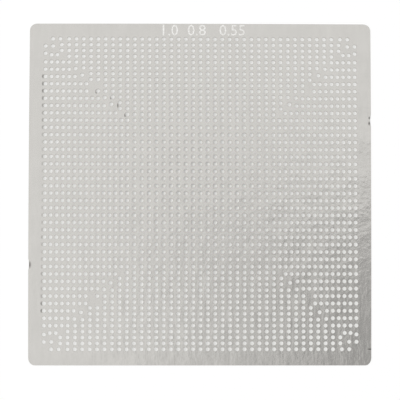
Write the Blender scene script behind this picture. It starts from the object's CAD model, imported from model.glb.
"""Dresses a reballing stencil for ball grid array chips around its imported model.

The stencil is one square sheet of rolled spring steel, laser cut with a square field of
2199 round apertures. It lies on a plain pale floor under soft studio light.
Sizes are in millimetres and turn to metres where a mesh or an object is made. X points
right, Y to the sheet's top edge and Z up.
"""

import logging
import math
from dataclasses import dataclass, field
from enum import Enum
from typing import Any

import bmesh
import bpy
from mathutils import Matrix, Vector


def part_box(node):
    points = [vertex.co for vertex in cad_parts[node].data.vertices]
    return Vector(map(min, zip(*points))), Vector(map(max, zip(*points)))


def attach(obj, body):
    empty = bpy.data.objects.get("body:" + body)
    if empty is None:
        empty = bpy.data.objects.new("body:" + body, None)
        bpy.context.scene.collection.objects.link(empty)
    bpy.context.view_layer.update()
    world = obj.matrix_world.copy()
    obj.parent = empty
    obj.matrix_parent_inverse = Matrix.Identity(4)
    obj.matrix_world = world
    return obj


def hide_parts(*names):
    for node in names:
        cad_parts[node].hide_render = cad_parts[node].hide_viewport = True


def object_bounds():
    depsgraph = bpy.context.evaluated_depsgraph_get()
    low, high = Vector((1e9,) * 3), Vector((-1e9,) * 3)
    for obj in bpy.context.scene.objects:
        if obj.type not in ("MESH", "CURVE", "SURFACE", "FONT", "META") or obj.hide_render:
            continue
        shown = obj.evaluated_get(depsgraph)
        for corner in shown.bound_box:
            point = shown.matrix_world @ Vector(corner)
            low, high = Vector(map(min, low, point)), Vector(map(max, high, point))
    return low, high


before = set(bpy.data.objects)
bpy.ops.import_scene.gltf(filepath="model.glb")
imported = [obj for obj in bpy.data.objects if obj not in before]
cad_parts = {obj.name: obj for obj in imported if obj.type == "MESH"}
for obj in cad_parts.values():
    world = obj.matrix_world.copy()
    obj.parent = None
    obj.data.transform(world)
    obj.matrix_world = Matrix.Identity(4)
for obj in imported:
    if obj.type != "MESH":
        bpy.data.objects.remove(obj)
CAD_LOW, CAD_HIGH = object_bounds()

log = logging.getLogger("stencil")

MM = 0.001
NODE = "stencil_sheet"
BODY = "root"
# Vertex attribute that is 1 where the laser cut the steel and 0 on its rolled faces
CUT_EDGE = "cut_edge"
# Slack in millimetres that keeps a place on a limit from being lost to rounding
SLACK = 1e-4
# Places of the Mix node's A and B sockets, for numbers and for colours
NUMBER_A, NUMBER_B = 2, 3
COLOUR_A, COLOUR_B = 6, 7
# Place of its colour result
COLOUR_RESULT = 2


def linear(hex_colour: str) -> tuple[float, float, float, float]:
    """Turns an sRGB colour to linear.

    Args:
        hex_colour: The colour as #rrggbb.

    Returns:
        Red, green, blue and an alpha of 1.
    """
    parts = [int(hex_colour[i : i + 2], 16) / 255 for i in (1, 3, 5)]
    red, green, blue = [
        part / 12.92 if part <= 0.04045 else ((part + 0.055) / 1.055) ** 2.4 for part in parts
    ]
    return red, green, blue, 1.0


def add_node(
    tree: bpy.types.NodeTree,
    kind: str,
    inputs: dict[str | int, Any] | None = None,
    **settings: Any,
) -> bpy.types.Node:
    """Adds one shader node.

    Args:
        tree: The node tree that gets it.
        kind: The node's type name, without the leading ShaderNode.
        inputs: Per input socket, an output socket to link or a value to set.
        **settings: Properties of the node itself.

    Returns:
        The new node.
    """
    node = tree.nodes.new("ShaderNode" + kind)
    for name, value in settings.items():
        setattr(node, name, value)
    for name, value in (inputs or {}).items():
        if isinstance(value, bpy.types.NodeSocket):
            tree.links.new(value, node.inputs[name])
        else:
            node.inputs[name].default_value = value
    return node


def set_stops(ramp: bpy.types.Node, stops: list[tuple[float, str]]) -> None:
    """Gives a Color Ramp node its stops.

    Args:
        ramp: The node.
        stops: Position and sRGB hex colour of each stop, in order.
    """
    elements = ramp.color_ramp.elements
    while len(elements) < len(stops):
        elements.new(1.0)
    for element, (place, colour) in zip(elements, stops):
        element.position = place
        element.color = linear(colour)


@dataclass(frozen=True)
class Stain:
    """Dark mark that the laser's heat or a snapped tab left on the upper face.

    Attributes:
        middle: Where it is.
        reach: How far it spreads across and up the sheet.
        core: Share of its reach that is fully dark.
    """

    middle: tuple[float, float]
    reach: tuple[float, float]
    core: float = 0.3

    def mask(
        self, tree: bpy.types.NodeTree, place: bpy.types.NodeSocket
    ) -> bpy.types.NodeSocket:
        """Adds the mark's mask.

        Args:
            tree: The node tree.
            place: Object coordinates.

        Returns:
            1 in the mark's core and 0 past its reach.
        """
        scale = [1 / (side * MM) for side in self.reach]
        shift = [-at / side for at, side in zip(self.middle, self.reach)]
        local = add_node(
            tree, "Mapping", {"Vector": place, "Location": (*shift, 0), "Scale": (*scale, 0)}
        )
        away = add_node(
            tree, "VectorMath", {0: local.outputs["Vector"]}, operation="LENGTH"
        ).outputs["Value"]
        fade = {"From Min": self.core, "From Max": 1.0, "To Min": 1.0, "To Max": 0.0}
        return add_node(tree, "MapRange", {"Value": away, **fade}).outputs["Result"]


@dataclass(frozen=True)
class Unevenness:
    """Irregular pattern and relief that rolling leaves in the steel's face.

    Attributes:
        size: Width of a patch across and up the sheet.
        detail: Octaves of finer pattern within it.
        height: Full height of its relief; most of it lies well within.
    """

    size: tuple[float, float]
    detail: float
    height: float

    def pattern(
        self, tree: bpy.types.NodeTree, place: bpy.types.NodeSocket
    ) -> bpy.types.NodeSocket:
        """Adds the pattern.

        Args:
            tree: The node tree.
            place: Object coordinates.

        Returns:
            The pattern, about 0.5 on average.
        """
        across, up = (1 / (side * MM) for side in self.size)
        scaled = add_node(tree, "Mapping", {"Vector": place, "Scale": (across, up, across)})
        noise = {"Vector": scaled.outputs["Vector"], "Scale": 1.0, "Detail": self.detail}
        return add_node(tree, "TexNoise", noise).outputs["Fac"]


@dataclass(frozen=True)
class SpringSteelFinish:
    """Cold-rolled stainless spring steel, laser cut and left as rolled.

    Rolling leaves a matt satin face with faint streaks along the rolling direction and a
    slight cloudiness, which mottle it where it mirrors the edge of a light. The laser's cut
    walls are rougher and darker, with a heat tint. Soot marks lie where tabs were snapped
    off and where the laser pierced the first column.
    """

    name: str = "rolled_spring_steel"
    # Rolled face from its darkest streak to its palest, and the patterns' mean at each
    face_colours: tuple[str, str, str] = ("#c9c7c3", "#cbc9c5", "#cdcbc7")
    face_stops: tuple[float, float, float] = (0.36, 0.5, 0.64)
    # Oxide that the laser left on the cut walls
    cut_colour: str = "#b6b2ab"
    face_roughness: float = 0.18
    roughness_spread: float = 0.03
    cut_roughness: float = 0.5
    # A streak is longer along the rolling direction than across it. Real rolling lines are
    # too fine to show, so the streaks and pebbles are drawn as coarse as they need to be
    streaks: Unevenness = Unevenness((0.55, 2.4), 2.0, 0.018)
    pebbles: Unevenness = Unevenness((0.45, 0.45), 2.0, 0.016)
    clouds: Unevenness = Unevenness((3.2, 3.2), 3.0, 0.06)
    soot_colour: str = "#858380"
    # Marks off the column: at the two scars, at a burr and along the upper left diagonal
    stains: tuple[Stain, ...] = (
        Stain((-23.2, -9.75), (0.3, 0.6)),
        Stain((23.2, 10.35), (0.22, 0.25)),
        Stain((23.15, 9.6), (0.22, 0.35)),
        Stain((23.05, -21.2), (0.45, 0.14)),
        Stain((-14.25, 13.9), (0.16, 0.38)),
        Stain((-12.25, 13.05), (0.13, 0.28)),
        Stain((-11.3, 12.0), (0.13, 0.42)),
        Stain((-10.3, 10.65), (0.16, 0.35)),
    )
    # The mark beside each aperture of the first column, and the heights it runs between
    column_stain: Stain = Stain((-21.53, 0.0), (0.2, 0.36))
    column_pitch: float = 1.0
    column_ends: tuple[float, float] = (-16.5, 16.5)
    # Distances from the column's middle within which its marks are faint and past which full
    column_fade: tuple[float, float] = (3.0, 11.0)
    faint_share: float = 0.25
    # Values of the cloudiness at which its marks are weakest and full
    column_clouds: tuple[float, float] = (0.4, 0.6)
    weak_share: float = 0.3

    def material(self) -> bpy.types.Material:
        """Builds the material.

        Returns:
            The finished steel.
        """
        made = bpy.data.materials.new(self.name)
        made.use_nodes = True
        tree = made.node_tree
        tree.nodes.clear()
        place = add_node(tree, "TexCoord").outputs["Object"]
        streaks = self.streaks.pattern(tree, place)
        clouds = self.clouds.pattern(tree, place)
        pebbles = self.pebbles.pattern(tree, place)
        cut = add_node(tree, "Attribute", attribute_name=CUT_EDGE).outputs["Fac"]
        soot = self._soot(tree, place, clouds)

        both = add_node(tree, "Math", {0: streaks, 1: clouds}, operation="ADD").outputs[0]
        mean = add_node(tree, "Math", {0: both, 1: 0.5}, operation="MULTIPLY").outputs[0]
        face = add_node(tree, "ValToRGB", {"Fac": mean})
        set_stops(face, list(zip(self.face_stops, self.face_colours)))
        stained = add_node(
            tree,
            "Mix",
            {
                "Factor": soot,
                COLOUR_A: face.outputs["Color"],
                COLOUR_B: linear(self.soot_colour),
            },
            data_type="RGBA",
        ).outputs[COLOUR_RESULT]
        colour = add_node(
            tree,
            "Mix",
            {"Factor": cut, COLOUR_A: stained, COLOUR_B: linear(self.cut_colour)},
            data_type="RGBA",
        ).outputs[COLOUR_RESULT]
        face_rough = add_node(
            tree,
            "MapRange",
            {
                "Value": mean,
                "From Min": self.face_stops[0],
                "From Max": self.face_stops[-1],
                "To Min": self.face_roughness + self.roughness_spread / 2,
                "To Max": self.face_roughness - self.roughness_spread / 2,
            },
        ).outputs["Result"]
        rough = add_node(
            tree,
            "Mix",
            {"Factor": cut, NUMBER_A: face_rough, NUMBER_B: self.cut_roughness},
            data_type="FLOAT",
        ).outputs["Result"]
        relief = {"Strength": 1.0}
        for pattern, height in (
            (streaks, self.streaks.height),
            (pebbles, self.pebbles.height),
            (clouds, self.clouds.height),
        ):
            step = {"Height": pattern, "Distance": height * MM}
            relief["Normal"] = add_node(tree, "Bump", {**relief, **step}).outputs["Normal"]
        shader = add_node(
            tree,
            "BsdfPrincipled",
            {
                "Base Color": colour,
                "Metallic": 1.0,
                "Roughness": rough,
                "Normal": relief["Normal"],
            },
        )
        add_node(tree, "OutputMaterial", {"Surface": shader.outputs["BSDF"]})
        return made

    def _soot(
        self,
        tree: bpy.types.NodeTree,
        place: bpy.types.NodeSocket,
        clouds: bpy.types.NodeSocket,
    ) -> bpy.types.NodeSocket:
        """Adds the mask of all dark marks.

        Args:
            tree: The node tree.
            place: Object coordinates.
            clouds: The cloudiness, which varies the first column's marks.

        Returns:
            The mask.
        """
        axes = add_node(tree, "SeparateXYZ", {"Vector": place}).outputs
        half = self.column_pitch / 2 * MM
        row = add_node(tree, "Math", {0: axes["Y"], 1: half, 2: -half}, operation="WRAP")
        wrapped = add_node(tree, "CombineXYZ", {"X": axes["X"], "Y": row.outputs[0]})
        marks = self.column_stain.mask(tree, wrapped.outputs["Vector"])
        low, high = (end * MM for end in self.column_ends)
        between = {0: axes["Y"], 1: (low + high) / 2, 2: (high - low) / 2}
        inside = add_node(tree, "Math", between, operation="COMPARE").outputs[0]
        weakest, fullest = self.column_clouds
        patches = {"From Min": weakest, "From Max": fullest, "To Min": self.weak_share}
        patchy = add_node(tree, "MapRange", {"Value": clouds, **patches}).outputs["Result"]
        away = add_node(tree, "Math", {0: axes["Y"]}, operation="ABSOLUTE").outputs[0]
        near, far = (distance * MM for distance in self.column_fade)
        fade = {"From Min": near, "From Max": far, "To Min": self.faint_share}
        faded = add_node(tree, "MapRange", {"Value": away, **fade}).outputs["Result"]
        for factor in (inside, patchy, faded):
            marks = add_node(tree, "Math", {0: marks, 1: factor}, operation="MULTIPLY").outputs[0]
        for stain in self.stains:
            mask = stain.mask(tree, place)
            marks = add_node(tree, "Math", {0: marks, 1: mask}, operation="MAXIMUM").outputs[0]
        return marks


@dataclass(frozen=True)
class EtchedMarkFinish:
    """Electrochemically etched marking: the bared steel is frosted, paler and matt."""

    name: str = "etched_marking"
    # Darkest and palest grain, and the pattern's value at each
    colours: tuple[str, str] = ("#dcdbd8", "#ecebe9")
    stops: tuple[float, float] = (0.35, 0.65)
    roughness: float = 0.6
    # Real etched grain is finer than shows, so it is drawn as coarse as it needs to be
    grain_size: float = 0.2

    def material(self) -> bpy.types.Material:
        """Builds the material.

        Returns:
            The frosted marking.
        """
        made = bpy.data.materials.new(self.name)
        made.use_nodes = True
        tree = made.node_tree
        tree.nodes.clear()
        place = add_node(tree, "TexCoord").outputs["Object"]
        grain = add_node(
            tree,
            "TexNoise",
            {"Vector": place, "Scale": 1 / (self.grain_size * MM), "Detail": 2.0},
        )
        colour = add_node(tree, "ValToRGB", {"Fac": grain.outputs["Fac"]})
        set_stops(colour, list(zip(self.stops, self.colours)))
        shader = add_node(
            tree,
            "BsdfPrincipled",
            {
                "Base Color": colour.outputs["Color"],
                "Metallic": 1.0,
                "Roughness": self.roughness,
            },
        )
        add_node(tree, "OutputMaterial", {"Surface": shader.outputs["BSDF"]})
        return made


@dataclass(frozen=True)
class FloorFinish:
    """Plain matt card or paper, which looks evenly pale because part of it glows."""

    name: str = "white_card"
    colour: str = "#fafafa"
    seen_colour: str = "#ffffff"
    # Share of seen_colour that it shows, within the near radius and past the far one
    near_glow: float = 0.96
    far_glow: float = 1.0
    near_radius: float = 45.0
    far_radius: float = 160.0

    def material(self) -> bpy.types.Material:
        """Builds the material.

        Returns:
            The finished card or paper.
        """
        made = bpy.data.materials.new(self.name)
        made.use_nodes = True
        tree = made.node_tree
        tree.nodes.clear()
        place = add_node(tree, "TexCoord").outputs["Object"]
        away = add_node(tree, "VectorMath", {0: place}, operation="LENGTH").outputs["Value"]
        glow = add_node(
            tree,
            "MapRange",
            {
                "Value": away,
                "From Min": self.near_radius * MM,
                "From Max": self.far_radius * MM,
                "To Min": self.near_glow,
                "To Max": self.far_glow,
            },
        ).outputs["Result"]
        ray = add_node(tree, "LightPath").outputs
        seen = add_node(
            tree,
            "Math",
            {0: ray["Is Camera Ray"], 1: ray["Is Glossy Ray"]},
            operation="MAXIMUM",
        ).outputs[0]
        seen = add_node(
            tree, "Math", {0: seen, 1: ray["Is Transmission Ray"]}, operation="MAXIMUM"
        ).outputs[0]
        share = add_node(tree, "Math", {0: glow, 1: seen}, operation="MULTIPLY").outputs[0]
        card = add_node(tree, "BsdfDiffuse", {"Color": linear(self.colour)})
        white = add_node(tree, "Emission", {"Color": linear(self.seen_colour), "Strength": 1.0})
        mixed = add_node(
            tree,
            "MixShader",
            {0: share, 1: card.outputs["BSDF"], 2: white.outputs["Emission"]},
        )
        add_node(tree, "OutputMaterial", {"Surface": mixed.outputs["Shader"]})
        return made


def raise_rim(
    bm: bmesh.types.BMesh,
    edges: list[bmesh.types.BMEdge],
    rise: float,
    spread: float,
    cut_share: float,
) -> list[bmesh.types.BMEdge]:
    """Draws a wall up from a closed rim round the middle of the mesh.

    Args:
        bm: The mesh.
        edges: The rim's edges.
        rise: Height of the wall.
        spread: Width of the new rim as a share of the old one.
        cut_share: Value of the cut-edge attribute at the new rim.

    Returns:
        The new rim's edges.
    """
    cut = bm.verts.layers.float[CUT_EDGE]
    made = bmesh.ops.extrude_edge_only(bm, edges=edges)["geom"]
    ring = {part for part in made if isinstance(part, bmesh.types.BMVert)}
    bmesh.ops.translate(bm, vec=(0, 0, rise), verts=list(ring))
    bmesh.ops.scale(bm, vec=(spread, spread, 1), verts=list(ring))
    for vert in ring:
        vert[cut] = cut_share
    return [
        part
        for part in made
        if isinstance(part, bmesh.types.BMEdge) and ring.issuperset(part.verts)
    ]


class Flip(Enum):
    """Which way a band of apertures lies from the middle of the sheet."""

    TOP = "top"
    BOTTOM = "bottom"
    LEFT = "left"
    RIGHT = "right"

    def matrix(self) -> Matrix:
        """Turns or mirrors a place in the top band to its twin in this band.

        Returns:
            The turn or mirror.
        """
        turn = Matrix.Rotation(math.radians(90), 4, "Z")
        return {
            Flip.TOP: Matrix.Identity(4),
            Flip.BOTTOM: Matrix.Scale(-1, 4, (0, 1, 0)),
            Flip.LEFT: turn,
            Flip.RIGHT: Matrix.Scale(-1, 4, (1, 0, 0)) @ turn,
        }[self]


@dataclass(frozen=True)
class Run:
    """Apertures in one straight line.

    Attributes:
        start: Centre of the first one.
        step: From one centre to the next.
        count: How many there are.
    """

    start: Vector
    step: Vector
    count: int


@dataclass
class ApertureField:
    """Where the apertures stand: a lattice, four bands and the seams between them."""

    field_half: float
    lattice_pitch: float = 1.0
    lattice_count: int = 21
    row_pitch: float = 0.8
    band_rows: int = 14
    seam_rows: int = 5
    seam_run: int = 3
    corner_count: int = 2
    # Ends that lack their last aperture in the row past the first seam run
    side_gaps: tuple[int, ...] = (-1, 1)
    top_gaps: tuple[int, ...] = (-1,)

    def __post_init__(self) -> None:
        """Works out half the lattice's width."""
        self.lattice_half = (self.lattice_count - 1) / 2 * self.lattice_pitch

    def row_y(self, n: int) -> float:
        """Distance of row n of a band from the sheet's middle."""
        return self.field_half - (self.band_rows - n) * self.row_pitch

    def _last_place(self, y: float) -> int:
        """Last place of the band's row at distance y that clears the next band."""
        return math.floor((y - self.row_pitch / math.sqrt(2)) / self.lattice_pitch + SLACK)

    def _flat_run(self, first: int, last: int, y: float, flip: Flip) -> Run:
        """Makes one row.

        Args:
            first: Place of its first aperture, counted from the middle.
            last: Place of its last aperture.
            y: The row's distance from the sheet's middle.
            flip: The band that it is in.

        Returns:
            The row.
        """
        turn = flip.matrix()
        start = turn @ Vector((first * self.lattice_pitch, y, 0))
        step = turn @ Vector((self.lattice_pitch, 0, 0))
        return Run(start, step, last - first + 1)

    def _band(self, flip: Flip, gaps: tuple[int, ...]) -> list[Run]:
        """Lists one band's rows.

        Args:
            flip: The band.
            gaps: Ends of the row past the first seam run that lack an aperture.

        Returns:
            The rows, with the outermost one's corner apertures.
        """
        runs = []
        for n in range(1, self.band_rows):
            y = self.row_y(n)
            last = self._last_place(y)
            short = gaps if n == self.seam_rows + 1 else ()
            runs.append(self._flat_run(-last + (-1 in short), last - (1 in short), y, flip))
        reach = self.field_half - self.corner_count * self.lattice_pitch - self.row_pitch
        last = math.floor(reach / self.lattice_pitch + SLACK)
        runs.append(self._flat_run(-last, last, self.field_half, flip))
        turn = flip.matrix()
        for side in (-1, 1):
            start = Vector((side * (self.field_half - self.lattice_pitch), self.field_half, 0))
            step = Vector((-side * self.lattice_pitch, 0, 0))
            runs.append(Run(turn @ start, turn @ step, self.corner_count))
        return runs

    def _seam(self, turn: Matrix) -> list[Run]:
        """Lists the runs along one half of a diagonal.

        Args:
            turn: Turns the upper right half to this one.

        Returns:
            The runs, each starting from its outer end.
        """
        pitch = (self.lattice_pitch + self.row_pitch) / 2
        runs = []
        for n in range(self.seam_rows, self.band_rows + self.seam_rows + 1, self.seam_rows):
            reach = [self.row_y(n) - i * pitch for i in range(self.seam_run)]
            kept = [d for d in reach if d < self.field_half - self.row_pitch]
            if kept:
                start = turn @ Vector((kept[0], kept[0], 0))
                runs.append(Run(start, turn @ Vector((-pitch, -pitch, 0)), len(kept)))
        return runs

    def runs(self) -> list[Run]:
        """Lists every aperture of the sheet as straight runs.

        Returns:
            The runs.
        """
        last = (self.lattice_count - 1) // 2
        runs = [
            self._flat_run(-last, last, j * self.lattice_pitch, Flip.TOP)
            for j in range(-last, last + 1)
        ]
        for flip in Flip:
            upright = flip in (Flip.TOP, Flip.BOTTOM)
            runs += self._band(flip, self.top_gaps if upright else self.side_gaps)
        for quarter in range(4):
            runs += self._seam(Matrix.Rotation(math.radians(90 * quarter), 4, "Z"))
        return runs


@dataclass
class StencilSheet:
    """The stencil itself: the sheet with its apertures, rounded corners and scars."""

    low: Vector
    high: Vector
    border: float = 2.2
    corner_radius: float = 1.05
    corner_steps: int = 8
    aperture_radius: float = 0.275
    aperture_steps: int = 14
    # Broken edge that deburring leaves on the upper face, wide and deep
    broken_edge: float = 0.018
    # Shallow scars where the sheet was snapped out of its carrier
    scar_length: float = 1.6
    scar_depth: float = 0.1
    scar_steps: int = 8
    # Side of each scar, -1 for the left, and its height from the sheet's middle
    scars: tuple[tuple[int, float], ...] = ((-1, -9.7), (1, 10.0))
    # How far each cut edge lies inside the square at its low end, middle and high end
    left_bow: tuple[float, float, float] = (0.13, 0.01, 0.05)
    right_bow: tuple[float, float, float] = (0.21, 0.05, 0.01)
    bottom_bow: tuple[float, float, float] = (0.05, 0.02, 0.0)
    top_bow: tuple[float, float, float] = (0.13, 0.08, 0.1)
    bow_steps: int = 12
    # Edges that turn by more degrees than this are shaded sharp
    sharp_angle: float = 30.0
    # The upper face lies this far below the box, so that the marking fits under it
    skin: float = 0.002
    finish: SpringSteelFinish = field(default_factory=SpringSteelFinish)

    def __post_init__(self) -> None:
        """Works out the sheet's half width and its upper and lower faces."""
        self.half = self.high.x / MM
        self.bottom = self.low.z / MM
        self.top = self.high.z / MM - self.skin
        self.field = ApertureField(self.half - self.border)

    def build(self) -> bpy.types.Object:
        """Models and dresses the sheet.

        Returns:
            The finished piece, riding on its body.
        """
        bm = bmesh.new()
        bm.verts.layers.float.new(CUT_EDGE)
        self._cut_apertures(bm)
        self._cut_outline(bm)
        self._fill_face(bm, self.top, 1)
        self._fill_face(bm, self.bottom, -1)
        bmesh.ops.recalc_face_normals(bm, faces=bm.faces)
        bmesh.ops.scale(bm, vec=(MM, MM, MM), verts=bm.verts)
        mesh = bpy.data.meshes.new("spring_steel_sheet")
        bm.to_mesh(mesh)
        bm.free()
        mesh.shade_smooth()
        mesh.set_sharp_from_angle(angle=math.radians(self.sharp_angle))
        mesh.materials.append(self.finish.material())
        piece = bpy.data.objects.new("spring_steel_sheet", mesh)
        bpy.context.scene.collection.objects.link(piece)
        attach(piece, BODY)
        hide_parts(NODE)
        return piece

    def _aperture_wall(self, bm: bmesh.types.BMesh) -> None:
        """Makes one aperture's wall and broken edge at the middle of the sheet.

        Args:
            bm: The empty mesh that gets them.
        """
        cut = bm.verts.layers.float[CUT_EDGE]
        ring = bmesh.ops.create_circle(
            bm,
            segments=self.aperture_steps,
            radius=self.aperture_radius,
            matrix=Matrix.Translation((0, 0, self.bottom)),
        )["verts"]
        for vert in ring:
            vert[cut] = 1.0
        rise = self.top - self.broken_edge - self.bottom
        widen = (self.aperture_radius + self.broken_edge) / self.aperture_radius
        edges = raise_rim(bm, bm.edges[:], rise, 1.0, 1.0)
        raise_rim(bm, edges, self.broken_edge, widen, 0.0)

    def _cut_apertures(self, bm: bmesh.types.BMesh) -> None:
        """Sets an aperture's wall at every place of the field.

        Args:
            bm: The mesh that gets the walls.
        """
        for run in self.field.runs():
            row = bmesh.new()
            row.verts.layers.float.new(CUT_EDGE)
            self._aperture_wall(row)
            bmesh.ops.translate(row, vec=run.start, verts=row.verts)
            if run.count > 1:
                bmesh.ops.spin(
                    row,
                    geom=[*row.verts, *row.edges, *row.faces],
                    dvec=run.step,
                    axis=(0, 0, 1),
                    steps=run.count - 1,
                    use_duplicate=True,
                )
            holder = bpy.data.meshes.new("row")
            row.to_mesh(holder)
            row.free()
            bm.from_mesh(holder)
            bpy.data.meshes.remove(holder)

    def _cut_outline(self, bm: bmesh.types.BMesh) -> None:
        """Makes the sheet's cut edge, with its corners, scars and broken upper edge.

        Args:
            bm: The mesh that gets it.
        """
        cut = bm.verts.layers.float[CUT_EDGE]
        corners = bmesh.ops.create_grid(
            bm,
            x_segments=1,
            y_segments=1,
            size=self.half,
            matrix=Matrix.Translation((0, 0, self.bottom)),
        )["verts"]
        bmesh.ops.bevel(
            bm,
            geom=corners,
            offset=self.corner_radius,
            offset_type="OFFSET",
            segments=self.corner_steps,
            profile=0.5,
            affect="VERTICES",
            material=-1,
        )
        self._press_scars(bm)
        self._bow_edges(bm)
        face = self._outline_face(bm)
        ring, edges = list(face.verts), list(face.edges)
        bmesh.ops.delete(bm, geom=[face], context="FACES_ONLY")
        for vert in ring:
            vert[cut] = 1.0
        rise = self.top - self.broken_edge - self.bottom
        narrow = 1 - self.broken_edge / self.half
        edges = raise_rim(bm, edges, rise, 1.0, 1.0)
        raise_rim(bm, edges, self.broken_edge, narrow, 0.0)

    @staticmethod
    def _outline_face(bm: bmesh.types.BMesh) -> bmesh.types.BMFace:
        """Finds the outline, which is the only face with more than four corners."""
        return next(face for face in bm.faces if len(face.verts) > 4)

    def _press_scars(self, bm: bmesh.types.BMesh) -> None:
        """Dips the left and right edges inwards where the tabs were snapped off.

        Args:
            bm: The mesh, with the sheet's outline as one face.
        """
        reach = self.scar_length / 2
        for side, middle in self.scars:
            straight = next(
                e
                for e in self._outline_face(bm).edges
                if all(abs(v.co.x - side * self.half) < SLACK for v in e.verts)
                and min(v.co.y for v in e.verts) < middle < max(v.co.y for v in e.verts)
            )
            made = bmesh.ops.subdivide_edges(bm, edges=[straight], cuts=self.scar_steps + 1)
            fresh = [p for p in made["geom_inner"] if isinstance(p, bmesh.types.BMVert)]
            fresh.sort(key=lambda v: v.co.y)
            for i, vert in enumerate(fresh):
                across = 2 * i / self.scar_steps - 1
                vert.co.y = middle + across * reach
                vert.co.x = side * (self.half - self.scar_depth * (1 - across**2))

    def _bow_edges(self, bm: bmesh.types.BMesh) -> None:
        """Draws the outline in by a fraction of a millimetre, as the cut wanders.

        Args:
            bm: The mesh, with the sheet's outline as one face.
        """
        edges = self._outline_face(bm).edges
        straight = [edge for edge in edges if edge.calc_length() > self.scar_length]
        bmesh.ops.subdivide_edges(bm, edges=straight, cuts=self.bow_steps)
        for vert in self._outline_face(bm).verts:
            x, y = vert.co.x, vert.co.y
            across = self.left_bow if x < 0 else self.right_bow
            up = self.bottom_bow if y < 0 else self.top_bow
            vert.co.x -= math.copysign(self._bow(across, y) * self._edge_share(x), x)
            vert.co.y -= math.copysign(self._bow(up, x) * self._edge_share(y), y)

    def _bow(self, bow: tuple[float, float, float], along: float) -> float:
        """Height of the parabola through an edge's low end, middle and high end."""
        low, middle, high = bow
        t = along / self.half
        return middle + (high - low) / 2 * t + ((low + high) / 2 - middle) * t * t

    def _edge_share(self, place: float) -> float:
        """How far round a corner a place is, from 0 on the next edge to 1 on this one."""
        share = (abs(place) - self.half + self.corner_radius) / self.corner_radius
        return max(0.0, min(1.0, share))

    @staticmethod
    def _fill_face(bm: bmesh.types.BMesh, height: float, up: int) -> None:
        """Closes the upper or lower face between the outline and the apertures.

        Args:
            bm: The mesh with its open rims.
            height: The face's height.
            up: 1 for the upper face and -1 for the lower one.
        """
        rims = [
            edge
            for edge in bm.edges
            if edge.is_boundary and all(abs(v.co.z - height) < SLACK for v in edge.verts)
        ]
        bmesh.ops.triangle_fill(
            bm, use_beauty=True, use_dissolve=False, edges=rims, normal=(0, 0, up)
        )


@dataclass
class EtchedNumbers:
    """Plain pitch and aperture sizes, etched into the top border."""

    top: float
    bottom: float
    # Words and the middle of each group, across the sheet
    groups: tuple[tuple[str, float], ...] = (("1.0  0.8", -2.4), ("0.55", 4.4))
    middle_y: float = 22.35
    height: float = 1.5
    # Height of a digit as a share of the font's size
    digit_share: float = 0.7
    curve_steps: int = 2
    finish: EtchedMarkFinish = field(default_factory=EtchedMarkFinish)

    def build(self) -> bpy.types.Object:
        """Models and dresses the marking.

        Returns:
            The finished piece, riding on its body.
        """
        bm = bmesh.new()
        for words, middle_x in self.groups:
            bm.from_mesh(self._flat_group(words, middle_x))
        bmesh.ops.remove_doubles(bm, verts=bm.verts, dist=SLACK)
        made = bmesh.ops.extrude_face_region(bm, geom=bm.faces[:])["geom"]
        lifted = [part for part in made if isinstance(part, bmesh.types.BMVert)]
        bmesh.ops.translate(bm, vec=(0, 0, self.top - self.bottom), verts=lifted)
        bmesh.ops.recalc_face_normals(bm, faces=bm.faces)
        bmesh.ops.scale(bm, vec=(MM, MM, MM), verts=bm.verts)
        mesh = bpy.data.meshes.new("etched_numbers")
        bm.to_mesh(mesh)
        bm.free()
        mesh.materials.append(self.finish.material())
        piece = bpy.data.objects.new("etched_numbers", mesh)
        bpy.context.scene.collection.objects.link(piece)
        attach(piece, BODY)
        return piece

    def _flat_group(self, words: str, middle_x: float) -> bpy.types.Mesh:
        """Turns one group of digits to a flat mesh.

        Args:
            words: The digits.
            middle_x: Where the group's middle lies across the sheet.

        Returns:
            The mesh, in place.
        """
        curve = bpy.data.curves.new("digits", "FONT")
        curve.body = words
        curve.size = self.height / self.digit_share
        curve.align_x, curve.align_y = "CENTER", "CENTER"
        curve.resolution_u = self.curve_steps
        holder = bpy.data.objects.new("digits", curve)
        mesh = bpy.data.meshes.new_from_object(holder)
        mesh.transform(Matrix.Translation((middle_x, self.middle_y, self.bottom)))
        bpy.data.objects.remove(holder)
        return mesh


@dataclass(frozen=True)
class Softbox:
    """One rectangular softbox.

    Attributes:
        name: Its name.
        middle: Where its middle is.
        size: Width and height of its cloth.
        radiance: How bright its cloth looks.
        aim: What it faces, or None where it faces straight down.
    """

    name: str
    middle: tuple[float, float, float]
    size: tuple[float, float]
    radiance: float
    aim: tuple[float, float, float] | None = None

    def build(self) -> None:
        """Hangs the softbox."""
        lamp = bpy.data.lights.new(self.name, "AREA")
        lamp.shape = "RECTANGLE"
        lamp.size, lamp.size_y = (side * MM for side in self.size)
        lamp.energy = self.radiance * math.pi * lamp.size * lamp.size_y
        holder = bpy.data.objects.new(self.name, lamp)
        middle = Vector(self.middle)
        turn = Matrix.Identity(4)
        if self.aim is not None:
            facing = (Vector(self.aim) - middle).to_track_quat("-Z", "Y")
            turn = facing.to_matrix().to_4x4()
        holder.matrix_world = Matrix.Translation(middle * MM) @ turn
        bpy.context.scene.collection.objects.link(holder)


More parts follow.
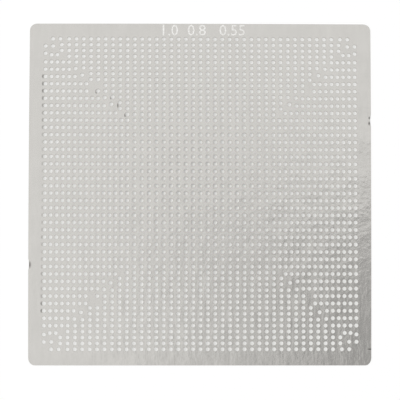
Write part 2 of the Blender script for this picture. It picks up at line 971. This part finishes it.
@dataclass
class Floor:
    """White card, with a square of backing paper under the sheet's apertures."""

    # Half the width of the card and of the paper
    half: float = 2500.0
    paper_half: float = 22.0
    # The floor lies this far below the sheet
    drop: float = 0.01
    card: FloorFinish = field(default_factory=FloorFinish)
    paper: FloorFinish = field(
        default_factory=lambda: FloorFinish(
            name="backing_paper",
            colour="#eeeeed",
            seen_colour="#e9e9e7",
            near_glow=0.22,
            far_glow=0.85,
            near_radius=4.0,
            far_radius=27.0,
        )
    )

    def build(self) -> None:
        """Lays the floor."""
        bm = bmesh.new()
        bmesh.ops.create_grid(bm, x_segments=1, y_segments=1, size=self.paper_half)
        made = bmesh.ops.extrude_edge_only(bm, edges=bm.edges[:])["geom"]
        ring = [part for part in made if isinstance(part, bmesh.types.BMVert)]
        spread = self.half / self.paper_half
        bmesh.ops.scale(bm, vec=(spread, spread, 1), verts=ring)
        for face in bm.faces:
            face.material_index = int(all(vert not in ring for vert in face.verts))
        bmesh.ops.recalc_face_normals(bm, faces=bm.faces)
        bmesh.ops.translate(bm, vec=(0, 0, CAD_LOW.z / MM - self.drop), verts=bm.verts)
        bmesh.ops.scale(bm, vec=(MM, MM, MM), verts=bm.verts)
        mesh = bpy.data.meshes.new("floor")
        bm.to_mesh(mesh)
        bm.free()
        mesh.materials.append(self.card.material())
        mesh.materials.append(self.paper.material())
        floor = bpy.data.objects.new("floor", mesh)
        bpy.context.scene.collection.objects.link(floor)


@dataclass
class Studio:
    """Floor, lamps, surroundings and camera."""

    camera_place: tuple[float, float, float] = (-3.52, -13.53, 199.45)
    camera_aim: tuple[float, float, float] = (-0.05, -0.92, 0.0)
    lens: float = 131.8
    sensor: float = 36.0
    # Nearest and farthest that the camera sees, in metres
    clip: tuple[float, float] = (0.01, 10.0)
    surroundings: str = "#ffffff"
    # Strength at the horizon and overhead, and the sines of the heights it falls between
    horizon_strength: float = 1.0
    overhead_strength: float = 0.46
    fall: tuple[float, float] = (0.1, 0.8)
    softboxes: tuple[Softbox, ...] = (
        # The first two leave the quarter past the sheet's lower right unlit, and the dimmer
        # one grades the way into it, so that the sheet darkens towards that corner
        Softbox("upper_softbox", (-75.0, 213.0, 350.0), (650.0, 400.0), 0.58),
        Softbox("lower_softbox", (-201.0, -143.5, 350.0), (398.0, 313.0), 0.58),
        Softbox("dimmer_softbox", (26.0, -143.5, 350.0), (56.0, 313.0), 0.32),
        # A small bright one from the left lights the apertures' walls and the paper in them
        Softbox("left_softbox", (-330.0, 60.0, 300.0), (80.0, 80.0), 45.0, (0.0, 0.0, 0.0)),
    )

    def build(self) -> None:
        """Sets the whole studio up."""
        Floor().build()
        self._surroundings()
        for box in self.softboxes:
            box.build()
        self._camera()
        bpy.context.scene.view_settings.view_transform = "Standard"

    def _surroundings(self) -> None:
        """Lights the scene softly from all around, white at the horizon and dimmer overhead."""
        world = bpy.data.worlds.new("studio")
        world.use_nodes = True
        tree = world.node_tree
        tree.nodes.clear()
        direction = add_node(tree, "TexCoord").outputs["Generated"]
        height = add_node(tree, "SeparateXYZ", {"Vector": direction}).outputs["Z"]
        strength = add_node(
            tree,
            "MapRange",
            {
                "Value": height,
                "From Min": self.fall[0],
                "From Max": self.fall[1],
                "To Min": self.horizon_strength,
                "To Max": self.overhead_strength,
            },
        ).outputs["Result"]
        air = add_node(
            tree, "Background", {"Color": linear(self.surroundings), "Strength": strength}
        )
        add_node(tree, "OutputWorld", {"Surface": air.outputs["Background"]})
        bpy.context.scene.world = world

    def _camera(self) -> None:
        """Sets the camera above the sheet, slightly towards its bottom edge."""
        lens = bpy.data.cameras.new("camera")
        lens.lens = self.lens
        lens.sensor_width = self.sensor
        lens.clip_start, lens.clip_end = self.clip
        camera = bpy.data.objects.new("camera", lens)
        place, aim = Vector(self.camera_place), Vector(self.camera_aim)
        camera.location = place * MM
        back = (place - aim).normalized()
        right = Vector((0, 1, 0)).cross(back).normalized()
        turn = Matrix((right, back.cross(right), back)).transposed()
        camera.rotation_euler = turn.to_euler()
        bpy.context.scene.collection.objects.link(camera)
        bpy.context.scene.camera = camera


def corners(low: Vector, high: Vector) -> list[list[float]]:
    """Gives a box as plain lists of numbers."""
    return [list(low), list(high)]


def main() -> None:
    """Builds the stencil and its studio, and notes the sizes."""
    logging.basicConfig(level=logging.INFO, format="%(name)s: %(message)s")
    low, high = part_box(NODE)
    sheet = StencilSheet(low, high)
    for piece in (
        sheet.build(),
        EtchedNumbers(top=high.z / MM, bottom=sheet.top - sheet.skin).build(),
    ):
        log.info("%s: %d faces", piece.name, len(piece.data.polygons))
    Studio().build()
    bpy.context.view_layer.update()


if __name__ == "__main__":
    main()
